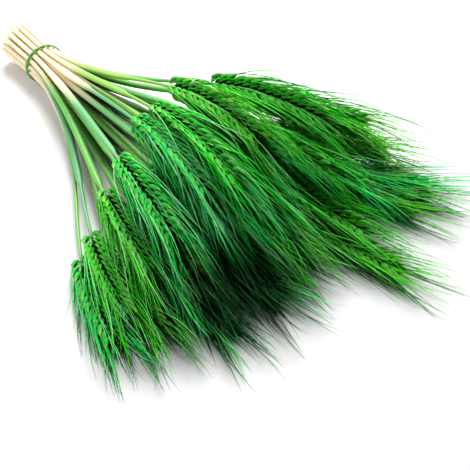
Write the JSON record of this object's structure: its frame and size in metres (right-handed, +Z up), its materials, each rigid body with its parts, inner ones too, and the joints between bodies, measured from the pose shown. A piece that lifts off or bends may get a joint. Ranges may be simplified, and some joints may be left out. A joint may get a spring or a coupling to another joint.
{
  "type": "tied bunch of dried triticale",
  "caption": "Tied bunch of dried, dyed awned cereal ears on straw stalks, lying on its side, held by one elastic band near the cut ends.",
  "frame": {"origin": "middle of the flat underside of the elastic band, on the surface that the bunch lies on", "axes": "+X runs along the bunch from the cut ends to the awns, +Z is up"},
  "size_m": [0.4065, 0.2951, 0.0813],
  "materials": {
    "dyed_straw": "matte",
    "elastic_band": "satin"
  },
  "bodies": {
    "root": {"stalk_01": "dyed_straw", "stalk_02": "dyed_straw", "stalk_03": "dyed_straw", "stalk_04": "dyed_straw", "stalk_05": "dyed_straw", "stalk_06": "dyed_straw", "stalk_07": "dyed_straw", "stalk_08": "dyed_straw", "stalk_09": "dyed_straw", "stalk_10": "dyed_straw", "stalk_11": "dyed_straw", "stalk_12": "dyed_straw", "stalk_13": "dyed_straw", "stalk_14": "dyed_straw", "stalk_15": "dyed_straw", "stalk_16": "dyed_straw", "stalk_17": "dyed_straw", "stalk_18": "dyed_straw", "stalk_19": "dyed_straw", "stalk_20": "dyed_straw", "stalk_21": "dyed_straw", "stalk_22": "dyed_straw", "stalk_23": "dyed_straw", "stalk_24": "dyed_straw", "stalk_25": "dyed_straw", "stalk_26": "dyed_straw", "stalk_27": "dyed_straw", "stalk_28": "dyed_straw", "stalk_29": "dyed_straw", "stalk_30": "dyed_straw", "stalk_31": "dyed_straw", "stalk_32": "dyed_straw", "stalk_33": "dyed_straw", "stalk_34": "dyed_straw", "elastic_band": "elastic_band"}
  },
  "joints": []
}
